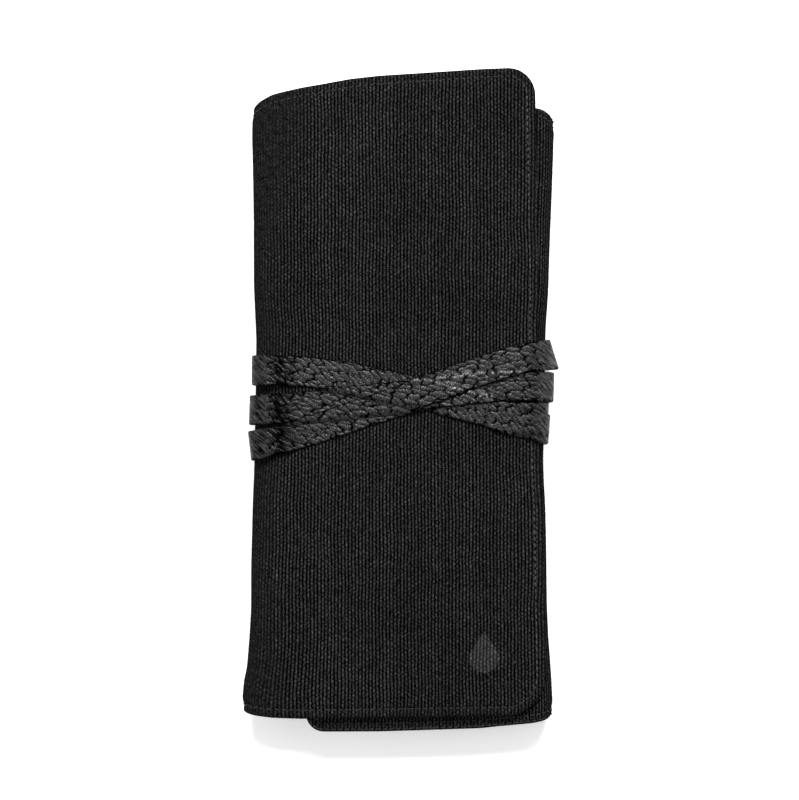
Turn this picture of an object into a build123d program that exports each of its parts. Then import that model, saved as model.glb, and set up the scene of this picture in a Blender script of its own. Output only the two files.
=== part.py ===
"""Brush roll case: a tri-fold canvas case for brushes, tied shut with a wound leather strap.

Millimetres. The closed case lies on its back: +Z is up, +Y runs along the folds, towards the end where
the outer flap's free corner stands highest, and the origin is on the rest surface under the middle of
the case. The outer flap folds over from the left (-X), on top of the inner flap from the right (+X).
"""
from build123d import *
from collections import namedtuple
import os

os.makedirs("parts", exist_ok=True)

# Overall size of the closed case
half_width = 61.0  # from the middle to each fold
outer_top = 23.5  # height of the outer flap's canvas above the rest surface
inner_top = 19.3  # height of the inner flap's canvas
left_radius = 11.0  # the two corners of the left spine
right_radius = 9.0  # the two corners of the right spine
cloth_corner = 11.0  # rounding of the flaps' free corners

# Thickness of each layer
canvas = 0.9
lining = 0.5
back_padding = 3.4
spine_padding = 2.2
inner_padding = 2.0
pocket_cloth = 0.6
binding_tape = 0.3
thread = 0.25

# Waist: how deep the strap presses into the canvas, and how long that groove is
back_pinch = 3.1
spine_pinch = 1.7
flap_pinch = 1.7
waist_flat = 28.0  # half the length of the groove's floor
waist_end = 40.0  # half the length of the whole groove

# Fold lines: the bodies stop this many degrees short of the 45 degree line of each corner
hinge_gap = 2.2
fold_angle = 45.0

# Blanks that are cut down to each body's plan outline reach past it this far from the middle
blank_length = 140.0
blank_width = 70.0
outline_side = 62.0
trim_margin = 1.0

# Pockets
tunnel_height = 4.4
back_tunnels = 6
inner_tunnels = 5
seam_width = 0.8
seam_clearance = 0.1
pocket_bottom = -118.0
back_mouth = 46.0
inner_mouth = 30.0
binding_width = 9.0
back_pocket_left = -48.0
back_pocket_right = 50.0
inner_pocket_left = -34.0
inner_pocket_right = 48.0

# Stitching
seam_inset = 3.6  # from a flap's edge to its topstitching
thread_width = 0.5

# Strap
strap_width = 12.0
strap_thickness = 1.1
strap_step = 0.85  # rise of each wrap that lies on another
strap_clearance = 0.3
strap_side = 60.2  # inner face of the wraps at each fold
strap_left_radius = 8.0
strap_right_radius = 5.8
left_turns = [12.0, -4.2, -18.8]  # middle of each wrap at the left fold, in winding order
right_turns = [-6.8, -12.4, 5.2, 18.2]  # and at the right fold, from the start end
right_levels = [0, 1, 1, 2]  # how many wraps each of those lies on
tail_length = 46.0

# Printed drop
drop_x = 32.6
drop_y = -103.0
drop_radius = 6.0
drop_height = 17.0
drop_shoulder = 20.0  # angle above the circle's middle where the sides of the point leave it
ink = 0.1

# A body's section across the folds: corner arcs (x, z, radius, first angle, last angle) in order, the x of
# a free edge after the last one, and the plan outline with the corners of it that are rounded
Body = namedtuple("Body", "corners free_x outline rounded")

left_x = -half_width + left_radius
right_x = half_width - right_radius
down = 270.0
up = 90.0

back = Body(
    [
        (left_x, left_radius, left_radius, down - fold_angle + hinge_gap, down),
        (right_x, right_radius, right_radius, down, down + fold_angle - hinge_gap),
    ],
    None,
    [
        (-outline_side, 118.5),
        (0, 122),
        (outline_side, 115),
        (outline_side, -126.5),
        (0, -130),
        (-outline_side, -124.5),
    ],
    [],
)
left_spine = Body(
    [
        (left_x, left_radius, left_radius, down - fold_angle - hinge_gap, 180.0),
        (left_x, outer_top - left_radius, left_radius, 180.0, up + fold_angle + hinge_gap),
    ],
    None,
    [(-outline_side, 118.5), (0, 118.5), (0, -124.5), (-outline_side, -124.5)],
    [],
)
outer_flap = Body(
    [(left_x, outer_top - left_radius, left_radius, up + fold_angle - hinge_gap, up)],
    blank_width,
    [
        (-outline_side, 118.5),
        (-41, 125),
        (7, 131.5),
        (52, 133.5),
        (58, -126),
        (-39, -127.2),
        (-outline_side, -124.5),
    ],
    [(52, 133.5), (58, -126)],
)
right_spine = Body(
    [
        (right_x, right_radius, right_radius, down + fold_angle + hinge_gap, 360.0),
        (right_x, inner_top - right_radius, right_radius, 0.0, fold_angle - hinge_gap),
    ],
    None,
    [(0, 115), (outline_side, 115), (outline_side, -126.5), (0, -126.5)],
    [],
)
inner_flap = Body(
    [(right_x, inner_top - right_radius, right_radius, fold_angle + hinge_gap, up)],
    -blank_width,
    [
        (outline_side, 115),
        (10, 121),
        (-39, 122),
        (-39, -133),
        (-20, -133),
        (31, -131.5),
        (51, -129.6),
        (outline_side, -126),
    ],
    [(-39, 122), (-39, -133)],
)


def band(body, y, outer, inner):
    """One layer of a body at one place along the folds, between two depths under its skin."""
    with BuildSketch(Plane.XZ.offset(-y)) as section:
        with BuildLine():
            ends = []
            for depth in (outer, inner):
                first = None
                last = None
                for x, z, radius, start, stop in body.corners:
                    arc = CenterArc((x, z), radius - depth, start, stop - start)
                    if last:
                        Line(last, arc @ 0)
                    first = first or arc @ 0
                    last = arc @ 1
                if body.free_x:
                    tip = Vector(body.free_x, last.Y)
                    Line(last, tip)
                    last = tip
                ends.append((first, last))
            Line(ends[0][0], ends[1][0])
            Line(ends[0][1], ends[1][1])
        make_face()
    return section.sketch


def finish(part, label):
    """Name a finished sub-part and write it."""
    part.label = label
    export_step(part, f"parts/{label}.step")


def cloth_layer(label, body, outer, inner, waist_outer, waist_inner, seam=None):
    """One layer of cloth or padding, pressed in at the waist and trimmed to its body's outline.

    seam is the inset and width of a row of stitching, to keep only that of the layer.
    """
    with BuildPart() as layer:
        for far in (blank_length, -waist_end):
            extrude(band(body, far, outer, inner), amount=blank_length - waist_end, dir=(0, -1, 0))
        floor = band(body, waist_flat, waist_outer, waist_inner)
        extrude(floor, amount=2 * waist_flat, dir=(0, -1, 0))
        for side in (-1, 1):
            shoulder = band(body, side * waist_end, outer, inner)
            foot = band(body, side * waist_flat, waist_outer, waist_inner)
            loft([shoulder, foot], ruled=True)
        with BuildSketch(Plane.XY.offset(-trim_margin)) as trim:
            with BuildLine():
                Polyline(*body.outline, close=True)
            make_face()
            if body.rounded:
                free = [v for v in trim.vertices() if (v.X, v.Y) in body.rounded]
                fillet(free, cloth_corner)
            if seam:
                offset(amount=-seam[0], mode=Mode.REPLACE)
                offset(amount=-seam[1], mode=Mode.SUBTRACT)
        extrude(amount=outer_top + 2 * trim_margin, mode=Mode.INTERSECT)
    finish(layer.part, label)


def padded_body(name, body, padding, pinch):
    """The canvas, padding and lining of one body, from the skin inwards."""
    inside = canvas + padding
    cloth_layer(f"{name}_canvas", body, 0, canvas, pinch, pinch + canvas)
    cloth_layer(f"{name}_interlining", body, canvas, inside, pinch + canvas, inside)
    cloth_layer(f"{name}_lining", body, inside, inside + lining, inside, inside + lining)


def pocket(name, floor, rise, left, right, mouth, tunnels):
    """A row of brush tunnels: the front cloth, its seams, the tape on its mouth and its thread.

    floor is the height of the lining that it is sewn to, and rise is 1 where the tunnels stand on it,
    or -1 where they hang from it.
    """
    width = right - left
    length = mouth - pocket_bottom
    middle = ((left + right) / 2, (mouth + pocket_bottom) / 2)
    foot = seam_width + seam_clearance
    pitch = (width - seam_width) / tunnels
    side = Plane.XY if rise > 0 else Plane.XY.rotated((180, 0, 0))
    flip = 1 if rise > 0 else -1
    level = floor * rise
    with BuildPart() as panel:
        with BuildSketch(side.offset(level + tunnel_height)):
            with Locations((middle[0], flip * middle[1])):
                Rectangle(width, length)
        extrude(amount=pocket_cloth)
        with BuildSketch(side.offset(level + seam_clearance)):
            with Locations((middle[0], flip * (middle[1] + foot / 2))):
                with GridLocations(pitch, 0, tunnels + 1, 1):
                    Rectangle(seam_width, length - foot)
            with Locations((middle[0], flip * (pocket_bottom + seam_width / 2))):
                Rectangle(width, seam_width)
        extrude(amount=tunnel_height - 2 * seam_clearance)
    finish(panel.part, f"{name}_pocket_panel")
    face = level + tunnel_height + pocket_cloth
    with BuildPart() as tape:
        with BuildSketch(side.offset(face)):
            with Locations((middle[0], flip * (mouth - binding_width / 2))):
                Rectangle(width, binding_width)
        extrude(amount=binding_tape)
    finish(tape.part, f"{name}_pocket_binding")
    with BuildPart() as rows:
        with BuildSketch(side.offset(face)):
            with Locations((middle[0], flip * (middle[1] - binding_width / 2))):
                with GridLocations(pitch, 0, tunnels + 1, 1):
                    Rectangle(thread_width, length - binding_width)
            with Locations((middle[0], flip * (pocket_bottom + seam_width / 2))):
                Rectangle(width - seam_width, thread_width)
        extrude(amount=thread)
    finish(rows.part, f"{name}_pocket_stitching")


padded_body("back", back, back_padding, back_pinch)
padded_body("left_spine", left_spine, spine_padding, spine_pinch)
padded_body("outer_flap", outer_flap, spine_padding, flap_pinch)
padded_body("right_spine", right_spine, inner_padding, spine_pinch)
padded_body("inner_flap", inner_flap, inner_padding, flap_pinch)

# Topstitching stands on the canvas of each flap, and on the lining of the back
edge_seam = (seam_inset, thread_width)
cloth_layer("outer_flap_stitching", outer_flap, -thread, 0, flap_pinch - thread, flap_pinch, edge_seam)
cloth_layer("inner_flap_stitching", inner_flap, -thread, 0, flap_pinch - thread, flap_pinch, edge_seam)
back_inside = canvas + back_padding + lining
thread_top = back_inside + thread
cloth_layer("back_stitching", back, back_inside, thread_top, back_inside, thread_top, edge_seam)

inner_inside = inner_top - canvas - inner_padding - lining
pocket("back", back_inside, 1, back_pocket_left, back_pocket_right, back_mouth, back_tunnels)
pocket("inner_flap", inner_inside, -1, inner_pocket_left, inner_pocket_right, inner_mouth, inner_tunnels)

with BuildPart() as printed_mark:
    with BuildSketch(Plane.XY.offset(outer_top)):
        with Locations((drop_x, drop_y)):
            Circle(drop_radius)
        shoulder = Vector(drop_radius, 0).rotate(Axis.Z, drop_shoulder)
        tip = (drop_x, drop_y + drop_height - drop_radius)
        with BuildLine():
            left_shoulder = (drop_x - shoulder.X, drop_y + shoulder.Y)
            right_shoulder = (drop_x + shoulder.X, drop_y + shoulder.Y)
            Polyline(left_shoulder, tip, right_shoulder, close=True)
        make_face()
    extrude(amount=ink)
finish(printed_mark.part, "printed_mark")

# The strap: wraps cross the front and the back at a slant, and go straight round each fold
front_face = outer_top - flap_pinch + strap_clearance
back_face = back_pinch - strap_clearance
strap_left_x = -strap_side + strap_left_radius
strap_right_x = strap_side - strap_right_radius
wrap_left = Body(
    [
        (strap_left_x, back_face + strap_left_radius, strap_left_radius, down, 180.0),
        (strap_left_x, front_face - strap_left_radius, strap_left_radius, 180.0, up),
    ],
    None,
    None,
    None,
)
wrap_right = Body(
    [
        (strap_right_x, back_face + strap_right_radius, strap_right_radius, down, 360.0),
        (strap_right_x, front_face - strap_right_radius, strap_right_radius, 0.0, up),
    ],
    None,
    None,
    None,
)
turns = [(wrap_left, y, level) for level, y in enumerate(left_turns)]
turns += [(wrap_right, y, level) for y, level in zip(right_turns, right_levels)]
wraps = len(left_turns)
passes = [(front_face, 1, left_turns[n], right_turns[n + 1], n) for n in range(wraps)]
passes += [(back_face, -1, left_turns[n], right_turns[n], n) for n in range(wraps)]
half_strap = strap_width / 2
with BuildPart() as strap:
    for side, y, level in turns:
        rise = level * strap_step
        wrap = band(side, y + half_strap, -rise - strap_thickness, -rise)
        extrude(wrap, amount=strap_width, dir=(0, -1, 0))
    for face, way, left_y, right_y, level in passes:
        base = face + way * level * strap_step
        bottom = min(base, base + way * strap_thickness)
        with BuildSketch(Plane.XY.offset(bottom)):
            with BuildLine():
                Polyline(
                    (strap_left_x, left_y - half_strap),
                    (strap_right_x, right_y - half_strap),
                    (strap_right_x, right_y + half_strap),
                    (strap_left_x, left_y + half_strap),
                    close=True,
                )
            make_face()
        extrude(amount=strap_thickness)
    # the last wrap ends in a tail along the back
    with BuildSketch(Plane.XY):
        with Locations((strap_right_x - tail_length / 2, right_turns[-1])):
            Rectangle(tail_length, strap_width)
    extrude(amount=strap_thickness)
finish(strap.part, "strap")
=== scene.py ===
"""Brush roll case, the visual model: canvas, lining, padding, pockets, stitching and a wound leather strap.

The object is laid out in millimetres and written to the meshes in metres, in the same frame as the CAD
model. All cloth is placed with cloth coordinates: s runs across the folds along the outer skin, with 0 at
the middle of the back, positive round the left fold and negative round the right one, y runs along the
folds, and depth is measured inwards from the outer skin.
"""
import math

import bpy
import numpy as np
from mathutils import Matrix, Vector


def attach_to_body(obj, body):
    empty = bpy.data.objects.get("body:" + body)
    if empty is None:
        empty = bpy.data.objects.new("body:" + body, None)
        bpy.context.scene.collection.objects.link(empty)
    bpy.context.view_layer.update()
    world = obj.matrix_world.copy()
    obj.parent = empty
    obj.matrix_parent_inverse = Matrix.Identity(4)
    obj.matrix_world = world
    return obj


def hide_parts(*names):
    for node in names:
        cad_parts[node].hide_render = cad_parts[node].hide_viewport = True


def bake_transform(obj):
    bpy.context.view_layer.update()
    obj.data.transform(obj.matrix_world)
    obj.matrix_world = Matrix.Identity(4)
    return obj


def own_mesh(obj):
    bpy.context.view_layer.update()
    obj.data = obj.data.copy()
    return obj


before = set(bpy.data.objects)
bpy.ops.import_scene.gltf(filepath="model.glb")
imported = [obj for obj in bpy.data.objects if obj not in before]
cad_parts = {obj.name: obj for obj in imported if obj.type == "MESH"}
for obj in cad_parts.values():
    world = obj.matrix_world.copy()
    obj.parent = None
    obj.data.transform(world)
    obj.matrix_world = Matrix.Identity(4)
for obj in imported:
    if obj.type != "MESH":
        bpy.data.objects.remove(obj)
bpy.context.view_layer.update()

MM = 0.001
HALF_TURN = math.pi / 2
UV_UNIT = 100  # millimetres of cloth to one unit of its UV map

# Section across the folds
half_width = 61.0  # outer skin to outer skin is twice this
left_radius = 11.0
right_radius = 9.0
outer_top = 23.5  # height of the outer flap's skin, and of the inner flap's
inner_top = 19.3
back_thick = 4.8  # thickness of the back, and of the spines and flaps on the left and the right
left_thick = 3.6
right_thick = 3.4
canvas = 0.9
lining = 0.5

# Waist: where the strap presses the case in
waist_back = 3.4  # height of the back's outer skin
waist_front = 21.6  # height of the outer flap
waist_flat = 25.0  # half the length that is pressed in fully
waist_end = 47.0  # half the length that is pressed in at all
waist_side = 0.008  # share by which the width shrinks
fold_sag = 2.5  # how far the outer flap sags at the left fold, and at its free edge
edge_sag = 0.8


def smooth(value):
    """0 below 0, 1 above 1, and an even rise between."""
    value = np.clip(value, 0, 1)
    return value * value * (3 - 2 * value)


def table(points):
    """Straight lines through points, as y of x."""
    xs, ys = np.array(sorted(points), float).T
    return lambda value: np.interp(value, xs, ys)


# The cloth's ends at the two folds, shared by the panels that meet there: (x, y)
LEFT_FOLD_TOP = [(-64, 118.4), (-61, 119.1)]
LEFT_FOLD_LOW = [(-66, -126.0), (-61, -126.5)]
RIGHT_FOLD_TOP = [(58.5, 116.4), (60.6, 114.6), (61.5, 113.2), (66, 111.5)]
RIGHT_FOLD_LOW = [(58.5, -129.4), (60.6, -128.4), (61.5, -127.4), (66, -125.5)]

# Plan outlines: y along each end of each panel from (x, y), and x along the two folds from (y, x)
outer_top_end = table(LEFT_FOLD_TOP + [
    (-58, 120.8), (-53, 122.7), (-49, 123.6), (-41, 125.2), (-33, 126.5), (-21, 128.7), (-9, 130.0),
    (7, 131.0), (31, 132.6), (43, 133.1), (60, 133.3),
])
outer_low_end = table(LEFT_FOLD_LOW + [
    (-57, -127.1), (-49, -127.7), (-39, -127.8), (0, -127.2), (45, -126.4), (62, -126.0),
])
inner_top_end = table([(-39, 122), (10, 121), (40, 119.0), (55, 117.6)] + RIGHT_FOLD_TOP)
inner_low_end = table([
    (-39, -133.8), (-9, -133.7), (7, -133.2), (31, -132.35), (39, -131.5), (51, -130.4),
] + RIGHT_FOLD_LOW)
back_top_end = table(LEFT_FOLD_TOP + [(-40, 120.4), (0, 121.6), (40, 118.6)] + RIGHT_FOLD_TOP)
back_low_end = table(LEFT_FOLD_LOW + [(-30, -127.8), (0, -129), (30, -129.4)] + RIGHT_FOLD_LOW)
left_edge = table([
    (-126, -65.2), (-120, -65.1), (-114, -64.7), (-108, -63.5), (-96, -62.6), (-84, -61.9), (-66, -61.8),
    (-54, -61.4), (-30, -60.8), (24, -60.0), (48, -60.6), (72, -60.6), (95, -61.1), (106, -61.4),
    (118, -61.0),
])
right_edge = table([
    (-129, 61.6), (-114, 60.9), (-96, 59.5), (-84, 59.0), (-42, 58.3), (-24, 57.9), (30, 58.9),
    (48, 59.7), (84, 60.9), (105, 61.7), (116, 62.2),
])
flap_edge_top = (53.4, 120.0)
flap_edge_low = (57.4, -112.0)
inner_edge_x = -39.0
hem_row = 3.6  # distance of the row of thread from the edge
INNER_ROWS = [1.1, 3.4]  # the same for the two rows on the inner flap


def marks(radius, top):
    """Cloth coordinates where the two arcs of one side begin and end."""
    flat = half_width - radius
    first = flat + HALF_TURN * radius
    second = first + top - 2 * radius
    return flat, first, second, second + HALF_TURN * radius


LEFT = marks(left_radius, outer_top)
RIGHT = marks(right_radius, inner_top)
left_middle = (LEFT[1] + LEFT[2]) / 2
right_middle = (RIGHT[1] + RIGHT[2]) / 2


def section(s, depth):
    """x and z of cloth coordinates before the case is squeezed."""
    left = s >= 0
    way = np.where(left, -1.0, 1.0)
    radius = np.where(left, left_radius, right_radius)
    flat, first, second, last = (np.where(left, a, b) for a, b in zip(LEFT, RIGHT))
    run = np.abs(s)
    low = np.clip((run - flat) / radius, 0, HALF_TURN)
    high = np.clip((run - second) / radius, 0, HALF_TURN)
    turn = low + high
    across = np.minimum(run, flat) + radius * np.sin(low) - radius * (1 - np.cos(high))
    across = across - np.maximum(run - last, 0)
    rise = radius * (1 - np.cos(low)) + np.clip(run - first, 0, second - first) + radius * np.sin(high)
    return way * (across - np.sin(turn) * depth), rise + np.cos(turn) * depth


def thickness(s):
    """Whole thickness of the cloth, padding and lining at s."""
    left = s >= 0
    flat = np.where(left, LEFT[0], RIGHT[0])
    spine = np.where(left, left_thick, right_thick)
    return back_thick + (spine - back_thick) * smooth((np.abs(s) - flat + 3) / 12)


draw = np.random.default_rng(11).uniform
WAVES = [(draw(-0.07, 0.07), draw(-0.05, 0.05), draw(0, 6.28)) for _ in range(7)]


def ripple(x, y):
    """Slow rise and fall of the cloth, about -1 to 1."""
    total = 0.0
    for kx, ky, phase in WAVES:
        total = total + np.sin(kx * x + ky * y + phase)
    return total / 3.2


def squeeze(x, y, z, s):
    """The case as it is tied: pressed in at the waist, its folds bowed and its outer flap sagging."""
    grip = smooth((waist_end - np.abs(y)) / (waist_end - waist_flat))
    reach = np.clip(np.abs(x) / half_width, 0, 1.15) ** 3
    level = z / outer_top
    shift = left_edge(y) + half_width
    slump = 0.15 + smooth((level - 0.42) / 0.3)  # the left fold bulges in its upper half
    shift = np.maximum(shift, 0) + np.minimum(shift, 0) * slump
    bow = np.where((s >= 0) & (x < 0), shift * reach, 0.0)
    bow = bow + np.where((s < 0) & (x > 0), (right_edge(y) - half_width) * reach, 0.0)
    sag = fold_sag * smooth((-36 - x) / 20) * level**2
    sag = sag + np.where(s > LEFT[3], edge_sag * smooth((x - 43) / 13), 0.0)
    lift = 0.28 * ripple(x, y) * np.clip(level, 0, 1) ** 2
    height = z - sag + lift
    low = waist_back * grip
    top = outer_top - (outer_top - waist_front) * grip
    return x * (1 - waist_side * grip) + bow, y, low + height * (top - low) / outer_top


def place(s, y, depth):
    """Cloth coordinates to millimetres in the object's frame."""
    s, y, depth = np.broadcast_arrays(s, y, depth)
    x, z = section(s, depth)
    return np.stack(squeeze(x, y, z, s), -1)


def make(name, points, faces, weave=None, values=None):
    """A mesh object from points in millimetres, with cloth coordinates as its UV map."""
    mesh = bpy.data.meshes.new(name)
    points = np.asarray(points, float).reshape(-1, 3)
    mesh.from_pydata((points * MM).tolist(), [], [tuple(int(i) for i in f) for f in faces])
    if weave is not None:
        corner = np.zeros(len(mesh.loops), np.int32)
        mesh.loops.foreach_get("vertex_index", corner)
        layer = mesh.uv_layers.new(name="cloth")
        layer.data.foreach_set("uv", (weave[corner] / UV_UNIT).astype(np.float32).ravel())
    for key, value in (values or {}).items():
        attribute = mesh.attributes.new(key, "FLOAT", "POINT")
        attribute.data.foreach_set("value", np.asarray(value, np.float32).ravel())
    mesh.polygons.foreach_set("use_smooth", np.ones(len(mesh.polygons), bool))
    mesh.update()
    piece = bpy.data.objects.new(name, mesh)
    bpy.context.scene.collection.objects.link(piece)
    return piece


def pairs(a, b):
    """Two grids laid side by side, as one row of two numbers per point."""
    return np.stack([a, b], -1).reshape(-1, 2)


def quads(rows, columns, flip=False):
    """Faces of a grid whose points are numbered row by row."""
    index = np.arange(rows * columns).reshape(rows, columns)
    corners = [index[:-1, :-1], index[:-1, 1:], index[1:, 1:], index[1:, :-1]]
    faces = np.stack(corners, -1).reshape(-1, 4)
    return faces[:, ::-1] if flip else faces


def shell(rows, columns, flip):
    """Faces of two equal grids, one numbered after the other, joined round their rim."""
    count = rows * columns
    top = quads(rows, columns, flip)
    faces = top.tolist() + (top[:, ::-1] + count).tolist()
    index = np.arange(count).reshape(rows, columns)
    rim = np.concatenate([index[:, 0], index[-1, 1:], index[::-1, -1][1:], index[0, ::-1][1:-1]])
    for a, b in zip(rim, np.roll(rim, -1)):
        side = [a, b, b + count, a + count]
        faces.append(side if flip else side[::-1])
    return faces


# Distances from an edge at which every panel has a row of points
EDGE_STEPS = [0, 0.08, 0.3, 0.65, 1.1, 1.7, 2.3, 2.8, 3.3, 3.6, 3.9, 4.4, 5.2, 6.5, 8.5, 11]
cloth_step = 2.2
half_length = 125.0  # where the width of a panel's ends is taken
corner_y = 120.0  # where the corners of a flap's free edge are taken
hem_round = 1.35  # radius of the turned edge
hem_flat = 0.5  # how far the hem is pressed in, and a row of thread pulled in
groove = 0.26
no_edge = 30.0  # an edge distance at which no hem shows
felt_length = 0.976  # the padding's length as a share of the cloth's


class Panel:
    """A stretch of the case between two places across it, with its ends and, on a flap, its free edge."""

    def __init__(self, start, stop, top_end, low_end, free, rows_of_thread, corners=(11.0, 11.0)):
        self.start = start
        self.stop = stop
        self.top_end = top_end
        self.low_end = low_end
        self.free = free
        self.rows_of_thread = rows_of_thread
        self.corners = corners  # radius of the free corner at the top end and at the low end
        self.grid()

    def limit(self, y):
        return self.stop(y) if callable(self.stop) else self.stop + 0 * y

    def grid(self):
        sign = -1.0 if self.limit(np.array(0.0)) < self.start else 1.0
        reach = abs(float(self.limit(np.array(0.0))) - self.start)
        if self.free:
            edge = np.array(EDGE_STEPS[::-1])
            plain = np.linspace(0, reach - edge[0], round((reach - edge[0]) / cloth_step) + 1)[:-1]
            run = np.concatenate([plain, reach - edge])
        else:
            run = np.linspace(0, reach, round(reach / cloth_step) + 1)
        share = run / reach
        from_edge = reach - run if self.free else np.full(len(run), 99.0)
        ends = []
        for way, end, radius in zip((1, -1), (self.top_end, self.low_end), self.corners):
            s = self.start + (self.limit(np.array(way * half_length)) - self.start) * share
            x, _ = section(s, 0.0)
            inside = np.clip(radius - from_edge, 0, radius)
            ends.append(end(x) - way * (radius - np.sqrt(radius**2 - inside**2)))
        high, low = ends
        steps = np.array(EDGE_STEPS)
        count = round((high.max() - low.min() - 2 * steps[-1]) / cloth_step)
        between = np.linspace(0, 1, count + 1)[1:-1]
        columns = []
        for top, bottom in zip(high, low):
            start, stop = bottom + steps[-1], top - steps[-1]
            middle = start + (stop - start) * between
            columns.append(np.concatenate([bottom + steps, middle, (top - steps)[::-1]]))
        self.y = np.array(columns)
        self.s = self.start + (self.limit(self.y) - self.start) * share[:, None]
        self.sign = sign
        self.shape = self.y.shape

    def to_edge(self, s, y):
        """Distance from the panel's outline."""
        x, _ = section(s, np.zeros_like(s))
        up = self.top_end(x) - y
        down = y - self.low_end(x)
        near = np.minimum(up, down)
        if not self.free:
            return np.maximum(near, 0)
        out = np.abs(self.limit(y) - s)
        gap = np.minimum(near, out)
        radius = np.where(y > 0, *self.corners)
        corner = (near < radius) & (out < radius)
        arc = radius - np.hypot(radius - near, radius - out)
        return np.maximum(np.where(corner, arc, gap), 0)

    def depth(self, s, y, inner):
        """Depth of the canvas, or of the lining, with its turned edges and rows of thread."""
        gap = self.to_edge(s, y)
        whole = thickness(s)
        middle = whole / 2
        round_off = np.sqrt(1 - (1 - np.clip(gap / hem_round, 0, 1)) ** 2)
        give = hem_flat * (1 - smooth((gap - 3.0) / 3.4))
        for row in self.rows_of_thread:
            along = 0.75 + 0.25 * np.sin(y * 2.1 + s * 2.1)
            give = give + groove * along * np.exp(-(((gap - row) / 0.5) ** 2))
        puff = 0.09 * (ripple(s * 3.1, y * 3.7) - 1) * smooth((gap - 4) / 6)
        outer = middle - (middle - give + puff) * round_off
        return middle + (whole - middle - give) * round_off if inner else outer

    def skin(self, name, inner=False):
        """The canvas, or the lining, as one open sheet."""
        points = place(self.s, self.y, self.depth(self.s, self.y, inner))
        faces = quads(*self.shape, flip=(self.sign > 0) == inner)
        return make(name, points, faces, pairs(self.s, self.y), {"edge": self.to_edge(self.s, self.y)})

    def felt(self, name):
        """The padding between the canvas and the lining, closed all round and shorter than both."""
        s = self.s[::3, ::3]
        y = self.y[::3, ::3] * felt_length
        gap = self.to_edge(s, y)
        whole = thickness(s)
        inset = 0.45 * (1 - smooth((gap - 2.5) / 5)) + 0.12
        top = canvas * 0.6 + inset + 0.35
        low = whole - lining * 0.6 - inset - 0.2
        rows, columns = s.shape
        if self.free:
            s = s - self.sign * 3.0 * (np.arange(rows) / rows)[:, None]
        points = np.concatenate([place(s, y, top).reshape(-1, 3), place(s, y, low).reshape(-1, 3)])
        return make(name, points, shell(rows, columns, self.sign < 0), np.tile(pairs(s, y), (2, 1)))


def outer_stop(y):
    """Cloth coordinate of the outer flap's free edge, which isn't quite parallel to the folds."""
    share = (flap_edge_top[1] - y) / (flap_edge_top[1] - flap_edge_low[1])
    x = flap_edge_top[0] + (flap_edge_low[0] - flap_edge_top[0]) * share
    return LEFT[3] + (x + half_width - left_radius)


inner_stop = -(RIGHT[3] + half_width - right_radius - inner_edge_x)

outer_flap = Panel(left_middle, outer_stop, outer_top_end, outer_low_end, True, [hem_row], (11.0, 16.0))
back_left = Panel(0.0, left_middle, back_top_end, back_low_end, False, [hem_row])
back_right = Panel(0.0, -right_middle, back_top_end, back_low_end, False, [hem_row])
inner_flap = Panel(-right_middle, inner_stop, inner_top_end, inner_low_end, True, INNER_ROWS, (7.5, 7.5))


def bend(piece):
    """Bakes a piece's transform into its mesh."""
    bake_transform(piece)


# Materials


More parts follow.
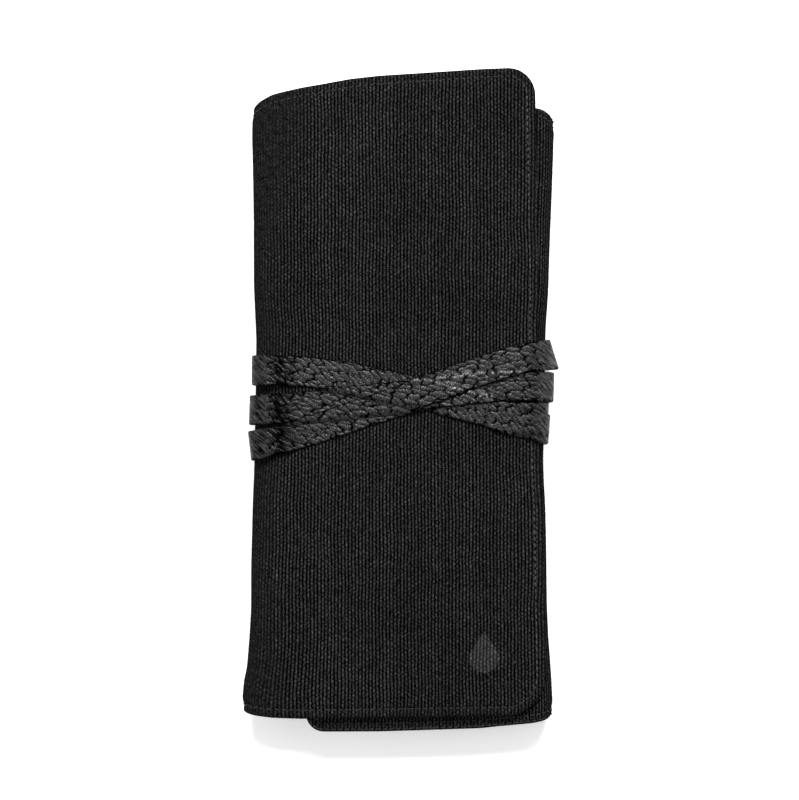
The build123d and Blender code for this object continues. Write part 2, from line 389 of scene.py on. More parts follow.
class Nodes:
    """Short spellings for building one material's nodes."""

    def __init__(self, name):
        self.material = bpy.data.materials.new(name)
        self.material.use_nodes = True
        self.tree = self.material.node_tree
        self.shader = self.tree.nodes["Principled BSDF"]

    def add(self, kind, **settings):
        node = self.tree.nodes.new("ShaderNode" + kind)
        for key, value in settings.items():
            setattr(node, key, value)
        return node

    def feed(self, socket, value):
        if isinstance(value, bpy.types.NodeSocket):
            self.tree.links.new(value, socket)
        else:
            socket.default_value = value

    def fill(self, node, values):
        """Feeds several named inputs of a node."""
        for key, value in values.items():
            self.feed(node.inputs[key], value)

    def math(self, operation, a, b=0.0):
        node = self.add("Math", operation=operation)
        self.feed(node.inputs[0], a)
        self.feed(node.inputs[1], b)
        return node.outputs[0]

    def plus(self, a, b):
        return self.math("ADD", a, b)

    def minus(self, a, b):
        return self.math("SUBTRACT", a, b)

    def times(self, first, *others):
        for other in others:
            first = self.math("MULTIPLY", first, other)
        return first

    def apart(self, a, b=0.0):
        """Distance between two values."""
        return self.math("ABSOLUTE", self.minus(a, b))

    def swing(self, value, reach):
        """A noise round 0.5 as a shift of up to half of reach either way."""
        return self.times(self.minus(value, 0.5), reach)

    def parts(self, vector):
        node = self.add("SeparateXYZ")
        self.feed(node.inputs[0], vector)
        return node.outputs[0], node.outputs[1]

    def join(self, x, y):
        node = self.add("CombineXYZ")
        self.feed(node.inputs[0], x)
        self.feed(node.inputs[1], y)
        return node.outputs[0]

    def read(self, name):
        """A value stored on the mesh."""
        return self.add("Attribute", attribute_name=name).outputs["Fac"]

    def noise(self, vector, scale, detail=2.0, rough=0.5, stretch=None):
        if stretch:
            vector = self.scaled(vector, stretch)
        node = self.add("TexNoise")
        self.fill(node, {"Vector": vector, "Scale": scale, "Detail": detail, "Roughness": rough})
        return node.outputs["Fac"]

    def scaled(self, vector, factors):
        node = self.add("VectorMath", operation="MULTIPLY")
        self.feed(node.inputs[0], vector)
        node.inputs[1].default_value = factors
        return node.outputs[0]

    def ramp(self, value, low, high, to_low, to_high):
        node = self.add("MapRange", clamp=True)
        for socket, number in zip(node.inputs[:5], (value, low, high, to_low, to_high)):
            self.feed(socket, number)
        return node.outputs["Result"]

    def shade(self, value):
        """A grey colour from a value."""
        node = self.add("CombineColor")
        for socket in node.inputs[:3]:
            self.feed(socket, value)
        return node.outputs[0]

    def surface(self, tone, rough, shine, height, relief):
        """The finished material: a grey, its roughness and shine, and a relief in millimetres."""
        bump = self.add("Bump")
        self.fill(bump, {"Height": height, "Distance": relief * MM})
        self.fill(self.shader, {"Base Color": self.shade(tone), "Roughness": rough,
                                "Specular IOR Level": shine, "Normal": bump.outputs[0]})
        return self.material

    def cloth_uv(self):
        """Cloth coordinates in millimetres."""
        source = self.add("UVMap", uv_map="cloth").outputs[0]
        return self.scaled(source, (UV_UNIT, UV_UNIT, UV_UNIT))


DUCK = (1.38, 1.77)  # width of a rib and length of a float
# Middles of the rubbed stretches at the two folds, across the cloth
LEFT_RUB = 72.0
RIGHT_RUB = -68.0


def canvas_material(name, rib, float_length, dark, light, relief):
    """Plain-woven duck: ribs along y, each a column of rounded floats half a period off its neighbours."""
    n = Nodes(name)
    uv = n.cloth_uv()
    across_cloth, along_cloth = n.parts(uv)

    # the yarns wander a little
    s = n.plus(across_cloth, n.swing(n.noise(uv, 0.045, 2.0), 1.6))
    s = n.plus(s, n.swing(n.noise(uv, 0.9, 2.0), 0.75))
    y = n.plus(along_cloth, n.swing(n.noise(uv, 0.35, 2.0), 1.5))

    # one rounded float, numbered by its column and row
    column = n.math("DIVIDE", s, rib)
    number = n.math("FLOOR", column)
    across = n.apart(n.math("FRACT", column), 0.5)
    shift = n.times(n.math("MODULO", n.apart(number), 2.0), 0.5)
    row = n.plus(n.math("DIVIDE", y, float_length), shift)
    pick = n.math("FLOOR", row)
    along = n.apart(n.math("FRACT", row), 0.5)
    gap = n.math("POWER", n.times(across, 2.0), 2.0)
    round_across = n.minus(1.0, n.times(gap, 2.0))
    node = n.math("POWER", n.times(along, 2.0), 2.4)
    round_along = n.minus(1.0, n.times(node, 0.62))
    knob = n.times(n.math("MAXIMUM", round_across, 0.0), round_along)
    lot = n.add("TexWhiteNoise", noise_dimensions="3D")
    n.feed(lot.inputs["Vector"], n.join(number, pick))
    lot = lot.outputs["Value"]
    yarn = n.add("TexWhiteNoise", noise_dimensions="1D")
    n.feed(yarn.inputs["W"], number)
    yarn = yarn.outputs["Value"]
    fibre = n.noise(uv, 1.9, 4.0, 0.75, (1.0, 0.55, 1.0))
    height = n.plus(n.times(knob, n.ramp(lot, 0, 1, 0.75, 1.0)), n.times(fibre, 0.5))

    # uneven yarns, fibres and slow patches, with painted shade in the gaps between the floats
    tone = n.times(n.math("POWER", knob, 1.25), n.ramp(lot, 0, 1, 0.72, 1.22), n.ramp(yarn, 0, 1, 0.86, 1.12),
                   n.ramp(fibre, 0.38, 0.64, 0.08, 2.2),
                   n.ramp(n.noise(uv, 0.03, 3.0), 0.3, 0.7, 0.86, 1.12))
    tone = n.plus(n.times(tone, light - dark), dark)

    # rubbed flat along the folds, widest at the left fold's ends, and along the hems
    mottle = n.noise(uv, 0.5, 4.0, 0.75)
    near_end = n.plus(n.ramp(along_cloth, 55.0, 118.0, 0.0, 13.0),
                      n.ramp(along_cloth, -124.0, -90.0, 4.0, 0.0))
    near_fold = n.minus(n.apart(across_cloth, LEFT_RUB), near_end)
    near_fold = n.plus(near_fold, n.swing(mottle, 20.0))
    rubbed = n.ramp(near_fold, 4.0, 17.0, 0.8, 0.0)
    rubbed = n.math("MAXIMUM", rubbed, n.ramp(n.apart(across_cloth, RIGHT_RUB), 2.5, 8.0, 0.45, 0.0))
    rubbed = n.math("MAXIMUM", rubbed, n.ramp(n.read("edge"), 2.6, hem_row, 0.22, 0.0))
    worn = n.times(n.ramp(mottle, 0.38, 0.64, 0.00225, 0.012), n.ramp(fibre, 0.4, 0.62, 0.1, 2.0))
    tone = n.plus(n.times(tone, n.minus(1.0, rubbed)), n.times(rubbed, worn))

    # painted glints on fibre ends, a faint lighter mottle and lint
    tone = n.plus(tone, n.ramp(n.noise(uv, 1.8, 2.0, 0.5), 0.62, 0.74, 0.0, 0.035))
    tone = n.plus(tone, n.ramp(n.noise(uv, 1.4, 3.0, 0.7), 0.55, 0.8, 0.0, 0.003))
    lint = n.add("TexVoronoi", feature="F1")
    n.fill(lint, {"Vector": n.scaled(uv, (1.0, 0.6, 1.0)), "Scale": 0.05})
    tone = n.plus(tone, n.ramp(lint.outputs["Distance"], 0.010, 0.022, 0.05, 0.0))
    return n.surface(tone, 0.95, 0.0, height, relief)


def leather_material():
    """Creased leather, pulled smooth and streaky where the strap turns over the sides."""
    n = Nodes("leather")
    uv = n.cloth_uv()
    fold = n.read("fold")
    fold_shade = n.read("fold_shade")
    pores = n.noise(uv, 1.5, 4.0, 0.75)
    fine = n.noise(uv, 7.0, 3.0, 0.6, (0.32, 1.0, 1.0))
    patch = n.noise(uv, 0.25, 2.0)
    # plateau is 0 in the creases and 1 on the cells: the creases are painted dark as shade and lose their
    # shine
    plateau = n.ramp(n.read("crease"), 0.22, 0.8, 0.0, 1.0)
    along, across = n.parts(uv)
    skew = n.join(n.plus(along, n.times(across, 0.9)), n.times(across, 0.22))
    pull = n.ramp(n.noise(skew, 1.0, 3.0, 0.6), 0.49, 0.61, 0.98, 0.05)
    # painted shade in a stripe inside each turn, broken up by crease streaks; it also dims the shine
    dim = n.minus(1.0, n.times(fold_shade, pull))
    tone = n.times(n.ramp(plateau, 0.0, 1.0, 0.0002, 0.0122), dim, n.ramp(pores, 0.38, 0.64, 0.22, 2.2),
                   n.ramp(patch, 0.3, 0.7, 0.5, 1.35), n.minus(1.0, fold))
    streak = n.ramp(n.noise(skew, 0.95, 3.0, 0.6), 0.43, 0.6, 0.0005, 0.05)
    tone = n.plus(tone, n.times(streak, fold, n.minus(1.0, n.times(fold_shade, 0.9))))
    rough = n.plus(n.ramp(pores, 0.3, 0.7, 0.46, 0.27), n.times(fold, 0.12))
    shine = n.times(n.ramp(plateau, 0.0, 1.0, 0.0, 0.33), n.ramp(pores, 0.42, 0.62, 0.12, 2.1),
                    n.minus(dim, n.times(fold, 0.45)))
    height = n.plus(n.times(pores, 0.6), n.times(fine, 0.55))
    return n.surface(tone, rough, shine, height, 0.13)


def lining_material():
    """Thin plain cloth: two crossed noises."""
    n = Nodes("lining")
    uv = n.cloth_uv()
    warp = n.noise(uv, 3.0, 2.0, 0.5, (1.0, 0.25, 1.0))
    weft = n.noise(uv, 3.0, 2.0, 0.5, (0.25, 1.0, 1.0))
    both = n.times(n.plus(warp, weft), 0.5)
    tone = n.times(n.ramp(both, 0.3, 0.7, 0.004, 0.014), n.ramp(n.noise(uv, 0.04, 3.0), 0.3, 0.7, 0.85, 1.15))
    return n.surface(tone, 0.9, 0.1, both, 0.12)


def plain_fibre(name, low, high, scale, relief, stretch, rough=0.85):
    """Thread, tape or felt: one noise drawn along its fibres."""
    n = Nodes(name)
    uv = n.cloth_uv()
    grain = n.noise(uv, scale, 4.0, 0.6, stretch)
    tone = n.times(n.ramp(grain, 0.25, 0.75, low, high), n.ramp(n.noise(uv, 0.15, 2.0), 0.3, 0.7, 0.8, 1.2),
                   n.plus(1.0, n.read("bright")))
    return n.surface(tone, rough, 0.1, grain, relief)


CANVAS = canvas_material("canvas", *DUCK, 0.0001, 0.0258, 0.3)
POCKET_CLOTH = canvas_material("pocket_cloth", 0.8, 1.0, 0.002, 0.02, 0.15)
LINING = lining_material()
FELT = plain_fibre("padding", 0.015, 0.04, 1.2, 0.4, (1.0, 1.0, 1.0), 1.0)
THREAD = plain_fibre("thread", 0.003, 0.034, 3.0, 0.12, (1.0, 0.4, 1.0), 0.7)
TAPE = plain_fibre("tape", 0.004, 0.014, 2.4, 0.15, (0.3, 1.0, 1.0))
LEATHER = leather_material()
# dark grey ink on the same ribs, with the same painted shade in the gaps between them
PRINT = canvas_material("print", *DUCK, 0.008, 0.05, 0.3)


def dress(piece, material, slot, *nodes):
    """Gives a piece its material and hides the CAD nodes that it stands for; slot is not used."""
    piece.data.materials.append(material)
    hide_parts(*nodes)
    return piece


# Canvas, lining and padding
PANELS = [
    ("outer_flap", outer_flap, "outer", ["outer_flap", "left_spine"]),
    ("back_left", back_left, "left", ["back", "left_spine"]),
    ("back_right", back_right, "right", ["back", "right_spine"]),
    ("inner_flap", inner_flap, "inner", ["inner_flap", "right_spine"]),
]
for name, panel, fold, owners in PANELS:
    cover = dress(panel.skin(f"{name}_cover"), CANVAS, "canvas", *[f"{o}_canvas" for o in owners])
    facing = panel.skin(f"{name}_facing", inner=True)
    dress(facing, LINING, "lining", *[f"{o}_lining" for o in owners])
    padding = dress(panel.felt(f"{name}_padding"), FELT, "padding", *[f"{o}_interlining" for o in owners])
    for piece in (cover, facing, padding):
        bend(piece)


# Stitches: each a short plump loop of thread standing on the cloth, built of rings
stitch_pitch = 2.6
stitch_length = 1.8
stitch_radius = 0.32
pocket_stitch_radius = 0.25
STATIONS = np.array([[0.0], [0.1], [0.3], [0.5], [0.7], [0.9], [1.0]])
PLUMP = np.sqrt(1 - (2 * STATIONS - 1) ** 4 * 0.93)
RING = np.arange(6) / 6 * 2 * math.pi
STITCH_POINTS = STATIONS.size * RING.size


def one_stitch(radius, skew):
    """How far the points of a stitch lie across it, and how far above its middle, ring by ring."""
    return skew * (STATIONS - 0.5) + radius * PLUMP * np.cos(RING), radius * PLUMP * np.sin(RING)


def stitch_faces(count):
    """Faces of that many stitches: the sides and two caps of each."""
    ring = RING.size
    faces = []
    for first in range(0, count * STITCH_POINTS, STITCH_POINTS):
        last = first + STITCH_POINTS - ring
        for start in range(first, last, ring):
            for j in range(ring):
                a = start + j
                b = start + (j + 1) % ring
                faces.append((a, b, b + ring, a + ring))
        faces.append(tuple(range(first, first + ring))[::-1])
        faces.append(tuple(range(last, last + ring)))
    return faces


def stitches(name, panel, path, seed, inner=False):
    """Stitches along a path of cloth coordinates, each laid on the panel's own surface."""
    random = np.random.default_rng(seed)
    run = np.concatenate([[0], np.cumsum(np.hypot(*np.diff(path, axis=0).T))])
    points = []
    weave = []
    for start in np.arange(stitch_pitch / 2, run[-1] - stitch_pitch, stitch_pitch):
        start = start + random.uniform(-0.15, 0.15)
        length = stitch_length * random.uniform(0.9, 1.06)
        skew = random.uniform(-0.13, 0.13)
        at = start + STATIONS * length
        s = np.interp(at, run, path[:, 0])
        y = np.interp(at, run, path[:, 1])
        way = np.array([s[-1, 0] - s[0, 0], y[-1, 0] - y[0, 0]])
        way = way / np.hypot(*way)
        across, rise = one_stitch(stitch_radius, skew)
        rise = rise * 0.85 + 0.14 * (1 - (2 * STATIONS - 1) ** 2)
        points.append(np.stack([s - way[1] * across, y + way[0] * across, rise], -1))
        rings = start + 0.5 * np.arange(STATIONS.size)
        weave.append(pairs(*np.broadcast_arrays(rings[:, None], RING * 0.3)))
    s, y, rise = np.reshape(points, (-1, 3)).T
    base = panel.depth(s, y, inner)
    depth = base + rise if inner else base - rise
    free_side = panel.free * smooth(1.5 - np.abs(panel.limit(y) - s) / 4)
    knot = np.repeat(random.uniform(0.5, 2.4, len(points)), STITCH_POINTS)
    values = {"bright": free_side * knot}
    return make(name, place(s, y, depth), stitch_faces(len(points)), np.concatenate(weave), values)


def end_path(end, stops, inset):
    """Path along one end of the cloth, that far above its outline."""
    xs, _ = section(stops, 0.0)
    return np.stack([stops, end(xs) + inset], -1)


def outline(panel, inset):
    """Path along a flap's top, free edge and lower edge, that far inside its outline."""
    sign = panel.sign
    centres = panel.limit(np.array([corner_y, -corner_y])) - sign * np.array(panel.corners)
    paths = [end_path(panel.top_end, np.arange(panel.start, centres[0], sign), -inset)]
    for s, end, way, corner in zip(centres, (panel.top_end, panel.low_end), (1, -1), panel.corners):
        x, _ = section(s, 0.0)
        angles = np.linspace(0, HALF_TURN, 12)[::-way]
        radius = corner - inset
        y = end(x) - way * corner + way * radius * np.sin(angles)
        paths.append(np.stack([s + sign * radius * np.cos(angles), y], -1))
    paths.append(end_path(panel.low_end, np.arange(centres[1], panel.start, -sign), inset))
    return np.concatenate(paths)


rim_row, inner_row = INNER_ROWS
FLAP_THREADS = [
    ("outer_flap", outer_flap, "outer", hem_row, 3),
    ("inner_flap", inner_flap, "inner", inner_row, 4),
    ("inner_flap_rim", inner_flap, "inner", rim_row, 5),
]
for name, panel, fold, inset, seed in FLAP_THREADS:
    piece = stitches(f"{name}_thread", panel, outline(panel, inset), seed)
    dress(piece, THREAD, "thread", f"{fold}_flap_stitching")
    bend(piece)

for fold, panel in (("left", back_left), ("right", back_right)):
    stops = np.arange(0, abs(panel.stop)) * panel.sign
    for end_name, end, inset in (("top", back_top_end, -hem_row), ("low", back_low_end, hem_row)):
        for face, inner in (("canvas", False), ("lining", True)):
            label = f"back_{fold}_{end_name}_{face}_thread"
            piece = stitches(label, panel, end_path(end, stops, inset), len(label), inner)
            dress(piece, THREAD, "thread", "back_stitching")
            bend(piece)


# Brush pockets: arched tunnels sewn down between their seams, with tape round the mouth
pocket_bottom = -118.0
tape_width = 9.0
tunnel_rise = 4.14


def pocket(body, left, right, mouth, tunnels):
    """One row of tunnels on the lining of the back, or hanging from that of the inner flap."""
    on_back = body == "back"
    pitch = (right - left) / tunnels
    xs = np.linspace(left, right, tunnels * 12 + 1)
    ys = np.linspace(pocket_bottom, mouth, round((mouth - pocket_bottom) / 2.4) + 1)

    def tunnel(x, y):
        """Height over the lining: nothing along the seams and the bottom, and less at the mouth."""
        arch = np.sqrt(np.clip(1 - (2 * ((x - left) / pitch % 1) - 1) ** 2, 0, 1)) ** 0.8
        swell = smooth((y - pocket_bottom) / 16) * (1 - 0.3 * smooth((y - mouth + 30) / 30))
        return 0.12 + tunnel_rise * arch * swell

    def lay(x, y, height):
        """Points at a height over the lining."""
        if on_back:
            return np.stack(squeeze(x, y, back_thick + height, -x), -1).reshape(-1, 3)
        z = inner_top - right_thick - height
        return np.stack(squeeze(x, y, z, np.full_like(x, inner_stop)), -1).reshape(-1, 3)

    def attach(piece, material, slot, node):
        dress(piece, material, slot, f"{body}_pocket_{node}")
        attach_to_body(piece, body)

    x, y = np.meshgrid(xs, ys, indexing="ij")
    faces = quads(*x.shape, not on_back)
    values = {"edge": np.full(x.size, no_edge)}
    cloth = make(f"{body}_pocket_cloth", lay(x, y, tunnel(x, y)), faces, pairs(x, y), values)
    attach(cloth, POCKET_CLOTH, "pocket_cloth", "panel")

    near = ys[(ys > mouth - tape_width) & (ys < mouth)]
    tape_ys = [mouth - tape_width, *near, mouth, mouth + 0.3]
    x, y = np.meshgrid(xs, tape_ys, indexing="ij")
    height = tunnel(x, y)
    points = np.concatenate([lay(x, y, height + 0.32), lay(x, y, height - 0.1)])
    tape = make(f"{body}_pocket_tape", points, shell(*x.shape, not on_back), np.tile(pairs(x, y), (2, 1)))
    attach(tape, TAPE, "tape", "binding")

    random = np.random.default_rng(9)
    starts = [(x, y, 0, 1) for x in left + pitch * np.arange(tunnels + 1)
              for y in np.arange(pocket_bottom + 1, mouth - 4, stitch_pitch)]
    starts += [(x, pocket_bottom + 0.9, 1, 0) for x in np.arange(left + 1, right - 3, stitch_pitch)]
    points = []
    for x, y, way_x, way_y in starts:
        across, rise = one_stitch(pocket_stitch_radius, random.uniform(-0.1, 0.1))
        run = STATIONS * stitch_length
        points.append(np.stack([x + way_x * run - way_y * across, y + way_y * run + way_x * across,
                                0.3 + rise], -1))
    x, y, height = np.reshape(points, (-1, 3)).T
    weave = np.tile(pairs(*np.broadcast_arrays(STATIONS * 2, RING * 0.3)), (len(points), 1))
    thread = make(f"{body}_pocket_thread", lay(x, y, height), stitch_faces(len(points)), weave)
    attach(thread, THREAD, "thread", "stitching")


pocket("back", -48.0, 50.0, 46.0, 6)
pocket("inner_flap", -34.0, 48.0, 30.0, 5)


# Printed drop on the outer flap
drop_x = 32.6
drop_y = -103.0
drop_radius = 6.0
drop_height = 17.0


def drop():
    """A flat drop on the outer flap, as rings of points round its middle."""
    angles = np.linspace(math.radians(-200), math.radians(20), 40)
    rim = [(drop_x + drop_radius * math.cos(a), drop_y + drop_radius * math.sin(a)) for a in angles]
    last_x, last_y = rim[-1]
    tip_y = drop_y + drop_height - drop_radius
    right_side = [(last_x + (drop_x - last_x) * t, last_y + (tip_y - last_y) * t - 1.2 * t * (1 - t))
                  for t in np.linspace(0, 1, 10)[1:]]
    left_side = [(2 * drop_x - x, y) for x, y in right_side[:-1]][::-1]
    edge = np.array(rim + right_side + left_side)
    centre = np.array([drop_x, drop_y + 1.5])
    rings = 9
    plan = [centre + (edge - centre) * (k / rings) for k in range(1, rings + 1)]
    x, y = np.concatenate([[centre], *plan]).T
    s = LEFT[3] + x + half_width - left_radius
    count = len(edge)
    faces = [(0, 1 + j, 1 + (j + 1) % count) for j in range(count)]
    for first in range(1, 1 + (rings - 1) * count, count):
        for j in range(count):
            a = first + j
            b = first + (j + 1) % count
            faces.append((a, a + count, b + count, b))
    ink = place(s, y, outer_flap.depth(s, y, False) - 0.07)
    return make("printed_drop", ink, faces, pairs(s, y), {"edge": np.full(len(s), no_edge)})


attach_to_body(dress(drop(), PRINT, "print", "printed_mark"), "outer_flap")


# Strap
strap_width = 12.0
leather = 1.15  # its thickness
front_step = 1.1  # how far one wrap raises the next in front, and at the back
back_step = 1.0
# centre line of each wrap across the front, left to right: (x, y)
FRONT = [
    [(-62, 12.0), (-48, 11.8), (-33, 10.6), (-18.6, 8.6), (-10.6, 6.8), (3.8, 3.6), (17.4, -0.4),
     (33.4, -4.6), (49.4, -9.6), (62, -12.6)],
    [(-62, -4.2), (-49, -3.4), (-33, -1.8), (-10, 0.6), (15, 2.9), (36, 4.9), (50, 5.2), (62, 5.2)],
    [(-62, -18.8), (-47.4, -15.2), (-34.6, -11.5), (-14.6, -4.8), (-2.6, -0.8), (7, 3.0), (17.4, 6.6),
     (33.4, 12.2), (49.4, 16.8), (62, 18.4)],
]
# each turn over a side: its y, how far out it reaches, and how much farther at its upper edge
LEFT_TURNS = [(12.0, 59.9, 0.0), (-4.2, 60.9, -0.2), (-18.8, 60.8, 0.7)]
RIGHT_TURNS = [(-6.8, 57.9, 0.2), (-12.4, 58.3, 0.4), (5.2, 60.2, 0.2), (18.2, 60.5, -1.9)]
strap_end = 62.0  # where the centre lines end
turn_start = 53.0  # where the turns begin
turn_square = 3.4  # how square they are: 2 would be an ellipse
turn_front = 14.0  # height above which a turn shows from the front
fold_begins = 53.6  # where the grain is pulled flat, with a stripe of painted shade, broken by crease streaks, inside it
strap_front = waist_front - 0.15
strap_back = waist_back - 0.1
start_end = 36.0  # x of the strap's hidden start, and of its hidden tail
tail_end = 8.0
lay_step = 0.5  # between rows of points, when they are laid and in the end
row_step = 0.42
strap_columns = 33
far_off = 400.0
half_strap = strap_width / 2
SOFTEN = np.array([1, 3, 4, 3, 1]) / 12
JITTER_SIZE = (97, 89)


def easy(points):
    """A smooth curve through points, as y of x."""
    xs, ys = np.array(points, float).T
    slopes = np.gradient(ys, xs)

    def curve(x):
        x = np.clip(x, xs[0], xs[-1])
        i = np.clip(np.searchsorted(xs, x) - 1, 0, len(xs) - 2)
        h = xs[i + 1] - xs[i]
        t = np.clip((x - xs[i]) / h, 0, 1)
        return ((2 * t**3 - 3 * t**2 + 1) * ys[i] + (t**3 - 2 * t**2 + t) * h * slopes[i]
                + (3 * t**2 - 2 * t**3) * ys[i + 1] + (t**3 - t**2) * h * slopes[i + 1])

    return curve


def start_line(x):
    """The strap's hidden start: level, and nowhere near the other wraps left of its end."""
    return RIGHT_TURNS[0][0] + np.where(x < start_end, far_off, 0.0)


def back_line(left_y, right_y):
    """Centre line of a pass across the back, from turn to turn."""
    def line(x):
        share = (x + strap_end) / (2 * strap_end)
        return left_y + (right_y - left_y) * (0.6 * share + 0.4 * smooth(share))

    return line


# Centre lines in winding order: back n goes from right turn n to left turn n, front n + 1 follows
FRONT_LINES = [start_line] + [easy(points) for points in FRONT]
BACK_LINES = [back_line(left[0], right[0]) for left, right in zip(LEFT_TURNS, RIGHT_TURNS)]
BACK_LINES.append(lambda x: RIGHT_TURNS[3][0] + 0 * x)


def pile(lines, x, y, step):
    """How far the wraps already laid raise the next one at a place."""
    total = np.zeros_like(x)
    for line in lines:
        slope = line(x + 0.5) - line(x - 0.5)
        away = np.abs(y - line(x)) / np.sqrt(1 + slope**2)
        total = total + step * (1 - smooth((away - half_strap + 0.4) / 1.7))
    return total


def strap_height(front, n, x, y):
    """Height of pass n across the front or the back, over or under the passes before it."""
    if front:
        return strap_front + pile(FRONT_LINES[:n], x, y, front_step)
    return strap_back - pile(BACK_LINES[:n], x, y, back_step)


def lay_pass(front, n, xs, offset):
    """Rows of points of pass n across the front or the back."""
    ys = (FRONT_LINES if front else BACK_LINES)[n](xs)
    way = np.stack([np.gradient(xs), np.gradient(ys)], -1)
    way = way / np.hypot(*way.T)[:, None]
    side = np.stack([-way[:, 1], way[:, 0]], -1) * np.sign(xs[1] - xs[0])
    fade = smooth((turn_start - np.abs(xs)) / 10)[:, None]
    side = side * fade + np.array([0.0, 1.0]) * (1 - fade)
    side = side / np.linalg.norm(side, axis=1)[:, None]
    x = xs[:, None] + side[:, :1] * offset
    y = ys[:, None] + side[:, 1:] * offset
    return np.stack([x, y, strap_height(front, n, x, y)], -1)


def lay_turn(n, left, offset):
    """Rows of points of one turn over a side: from the back on the left, and to it on the right."""
    way = -1.0 if left else 1.0
    _, reach, lean = (LEFT_TURNS if left else RIGHT_TURNS)[n]
    front = n + left
    x_end = np.full_like(offset, way * turn_start)
    top = strap_height(True, front, x_end, FRONT_LINES[front](x_end) + offset)
    low = strap_height(False, n, x_end, BACK_LINES[n](x_end) + offset)
    angles = np.linspace(0, math.pi, 58)
    rows = []
    for angle in angles[::-1] if left else angles:
        bulge = abs(math.sin(angle)) ** (2 / turn_square)
        swing = math.copysign(abs(math.cos(angle)) ** (2 / turn_square), math.cos(angle))
        middle = way * (turn_start + (reach - turn_start) * bulge)
        x = middle + way * lean * bulge * offset / half_strap
        z = (top + low) / 2 + (top - low) / 2 * swing
        y = (FRONT_LINES[front] if swing > 0 else BACK_LINES[n])(middle) + offset
        rows.append(np.stack([x, y, z], -1))
    return np.array(rows)


def lay_strap():
    """Points of the strap's under surface in even rows, and its own coordinates along and across."""
    across = np.linspace(-1, 1, strap_columns)
    offset = np.sign(across) * (1 - (1 - np.abs(across)) ** 1.25) * half_strap
    start = np.arange(start_end, turn_start, lay_step)
    xs = np.arange(turn_start, -turn_start, -lay_step)
    stretches = [lay_pass(True, 0, start, offset), lay_turn(0, False, offset)]
    for n in range(3):
        stretches += [lay_pass(False, n, xs, offset), lay_turn(n, True, offset)]
        stretches += [lay_pass(True, n + 1, xs[::-1], offset), lay_turn(n + 1, False, offset)]
    tail = np.arange(turn_start, tail_end, -lay_step)
    stretches.append(lay_pass(False, 3, tail, offset))
    grid = np.concatenate(stretches)

    # rows that nearly coincide are dropped, the rest are smoothed and spaced evenly
    centre = strap_columns // 2
    keep = [0]
    for k in range(1, len(grid)):
        if np.linalg.norm(grid[k, centre] - grid[keep[-1], centre]) > 0.12:
            keep.append(k)
    grid = grid[keep]
    for _ in range(2):
        padded = np.concatenate([grid[:1], grid[:1], grid, grid[-1:], grid[-1:]])
        grid = sum(weight * padded[k:k + len(grid)] for k, weight in enumerate(SOFTEN))
    steps = np.linalg.norm(np.diff(grid[:, centre], axis=0), axis=1)
    along = np.concatenate([[0], np.cumsum(steps)])
    even = np.linspace(0, along[-1], round(along[-1] / row_step))
    spread = [[np.interp(even, along, grid[:, j, k]) for k in range(3)] for j in range(grid.shape[1])]
    return np.transpose(spread, (2, 0, 1)), even, offset


def pebbles(along, offset, cell_long, cell_wide, tilt, crease_width, seed):
    """Grain of the leather: tilted cells, as a height and as 0 in their creases to 1 inside them."""
    jitter_a, jitter_b = np.random.default_rng(seed).uniform(-0.42, 0.42, (2, *JITTER_SIZE))
    grid_a, grid_b = np.meshgrid(along, offset, indexing="ij")
    wobble = 0.3 * np.sin(grid_b * 1.7 + grid_a * 0.31) + 0.15 * np.sin(grid_b * 3.9 + grid_a * 0.9)
    a = (grid_a + 0.3 * grid_b + wobble) / cell_long
    sway = 0.14 * np.sin(grid_a * 1.3) + 0.1 * np.sin(grid_a * 2.9 + grid_b)
    b = (grid_b + tilt * (grid_a + 7 * np.sin(grid_a * 0.05 + 0.6)) + sway) / cell_wide
    cells = []
    for step_a in range(-2, 3):
        for step_b in range(-2, 3):
            column = np.floor(a).astype(int) + step_a
            row = np.floor(b).astype(int) + step_b
            spot = column % JITTER_SIZE[0], row % JITTER_SIZE[1]
            cells.append((a - column - 0.5 * (row % 2) - jitter_a[spot], b - row - 0.5 - jitter_b[spot]))
    cells = np.array(cells)
    gaps = np.hypot(cells[:, 0], cells[:, 1])
    nearest_two = np.argsort(gaps, axis=0)[:2]
    first, second = np.take_along_axis(gaps, nearest_two, 0)
    near, other = np.take_along_axis(cells, nearest_two[:, None], 0)
    apart = np.hypot(*(near - other))
    wall = (second**2 - first**2) / (2 * np.maximum(apart, 0.05))
    crease = np.clip(wall / crease_width, 0, 1)
    height = smooth(crease) * (1 - 0.2 * np.clip(first, 0, 1) ** 2)
    return height, crease


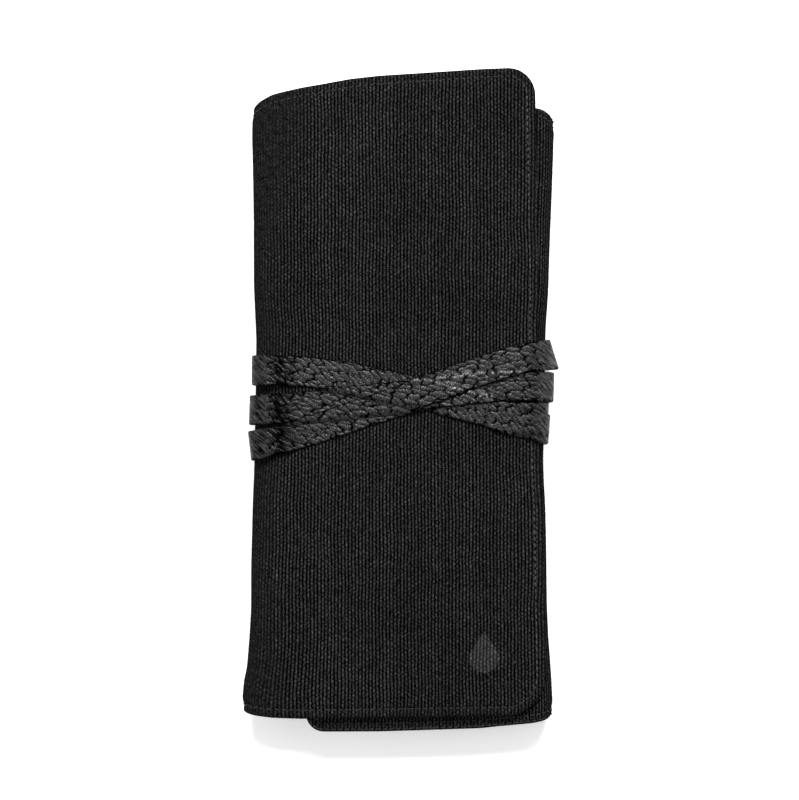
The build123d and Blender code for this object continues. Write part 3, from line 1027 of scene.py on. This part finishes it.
def build_strap():
    """The strap as one closed piece of leather, and its length in millimetres."""
    middle, along, offset = lay_strap()
    rows, columns = middle.shape[:2]
    d_across = np.gradient(middle, axis=1)
    normal = np.cross(np.gradient(middle, axis=0), d_across)
    normal = normal / np.linalg.norm(normal, axis=2)[..., None]
    # the strap keeps one face outwards all the way round
    centre = middle * (0.8, 1, 0) + (0, 0, (strap_front + strap_back) / 2)
    if np.sum(np.sign(np.sum(normal * (middle - centre), axis=(1, 2)))) < 0:
        normal = -normal

    # where it turns over a side, and a stripe of painted shade before that, wider on the left
    x, y, z = np.moveaxis(middle, -1, 0)
    out = np.abs(x) + 0.35 * np.sin(y * 2.3) + 0.25 * np.sin(y * 5.1) - fold_begins
    fold = smooth(out / 2.2) * smooth((z - turn_front) / 4)
    fold_shade = np.exp(-(((out + np.where(x < 0, 4.6, 1.3)) / np.where(x < 0, 5.6, 2.0)) ** 2))
    fold_shade = np.where(x < 0, np.maximum(fold_shade, 0.35 * fold), 0.6 * fold_shade)

    # grain on two scales, mixed differently along the strap
    height, crease = pebbles(along, offset, 5.0, 2.15, 0.5, 0.15, 21)
    small, wrinkle = pebbles(along, offset, 2.9, 1.3, -0.4, 0.14, 22)
    run = along[:, None]
    strength = 0.5 + 0.5 * np.sin(run * 0.83 + 2 * np.sin(offset * 0.9)) * np.sin(run * 0.31)
    height = height * 0.8 + small * (0.06 + 0.14 * strength)
    from_rim = half_strap - np.abs(offset)
    # small wrinkles and the strap's rim lower the crease value, which the material paints as darker shade
    # with less shine
    crease = crease * (1 - (0.15 + 0.45 * strength) * (1 - wrinkle))
    crease = crease * (0.25 + 0.75 * np.clip(from_rim / 1.1, 0, 1))
    round_edge = np.sqrt(1 - (1 - np.clip(from_rim / 0.55, 0, 1)) ** 2)
    relief = 0.44 * (1 - 0.8 * fold)
    level = leather * (0.25 + 0.75 * round_edge) + relief * (height - 0.75) * round_edge
    top = middle + normal * level[..., None]

    # ragged cut edges
    jag = np.convolve(np.random.default_rng(5).normal(0, 1, rows), np.ones(7) / 7, "same") * 0.22
    side = d_across / np.linalg.norm(d_across, axis=2)[..., None]
    top = top + side * (jag[:, None] * np.sign(offset) * np.abs(offset / half_strap) ** 6)[..., None]

    # the underside has every fourth column
    low_level = 0.05 * leather * (1 - round_edge[::4])
    bottom = middle[:, ::4] + normal[:, ::4] * low_level[:, None]
    low_columns = bottom.shape[1]
    high = np.arange(rows * columns).reshape(rows, columns)
    low = high.size + np.arange(rows * low_columns).reshape(rows, low_columns)
    faces = quads(rows, columns).tolist() + (quads(rows, low_columns, flip=True) + high.size).tolist()
    for k in range(rows - 1):
        faces.append((high[k, 0], high[k + 1, 0], low[k + 1, 0], low[k, 0]))
        faces.append((high[k + 1, -1], high[k, -1], low[k, -1], low[k + 1, -1]))
    faces.append([*low[0], *high[0][::-1]])
    faces.append([*high[-1], *low[-1][::-1]])

    a, b = np.meshgrid(along, offset, indexing="ij")
    weave = np.concatenate([pairs(a, b), pairs(a[:, ::4], b[:, ::4])])
    values = {
        "crease": np.concatenate([crease.ravel(), np.full(low.size, 0.8)]),
        "fold": np.concatenate([fold.ravel(), fold[:, ::4].ravel()]),
        "fold_shade": np.concatenate([fold_shade.ravel(), fold_shade[:, ::4].ravel()]),
    }
    points = np.concatenate([top.reshape(-1, 3), bottom.reshape(-1, 3)])
    return make("strap_leather", points, faces, weave, values), along[-1]


strap, strap_length = build_strap()
dress(strap, LEATHER, "leather", "strap")
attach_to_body(strap, "strap")
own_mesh(strap)
print("strap length", round(strap_length, 1), "mm")


# Floor, light and camera


def floor_material():
    """White paper with a faint grain, and a little light of its own."""
    n = Nodes("floor")
    grain = n.noise(n.add("TexCoord").outputs["Object"], 60.0, 3.0)
    n.fill(n.shader, {"Base Color": n.shade(n.ramp(grain, 0.0, 1.0, 0.93, 0.97)), "Roughness": 0.9,
                      "Specular IOR Level": 0.1, "Emission Color": (1, 1, 1, 1), "Emission Strength": 0.22})
    return n.material


far = 3000.0
floor = make("floor", [(-far, -far, 0), (far, -far, 0), (far, far, 0), (-far, far, 0)], [(0, 1, 2, 3)])
floor.data.materials.append(floor_material())


def lamp(name, energy, size, spot):
    """A rectangular lamp that faces the middle of the object."""
    data = bpy.data.lights.new(name, "AREA")
    data.energy = energy
    data.shape = "RECTANGLE"
    data.size, data.size_y = size
    light = bpy.data.objects.new(name, data)
    light.location = spot
    light.rotation_euler = (-Vector(spot)).to_track_quat("-Z", "Y").to_euler()
    bpy.context.scene.collection.objects.link(light)


lamp("key", 34.0, (0.7, 0.35), (0.05, 0.9, 1.05))
lamp("left_light", 4.5, (0.5, 1.2), (-1.1, -0.1, 0.8))
lamp("right_light", 1.5, (0.5, 1.2), (1.1, 0.1, 0.6))

world = bpy.data.worlds.new("world")
bpy.context.scene.world = world
world.use_nodes = True
sky = world.node_tree.nodes["Background"]
sky.inputs["Color"].default_value = (1, 1, 1, 1)
sky.inputs["Strength"].default_value = 0.6

camera_data = bpy.data.cameras.new("camera")
camera_data.lens = 73.2
camera_data.sensor_width = 36.0
camera = bpy.data.objects.new("camera", camera_data)
camera.location = (-0.0012, 0.0, 0.6735)
bpy.context.scene.collection.objects.link(camera)
bpy.context.scene.camera = camera
bpy.context.scene.view_settings.view_transform = "Standard"
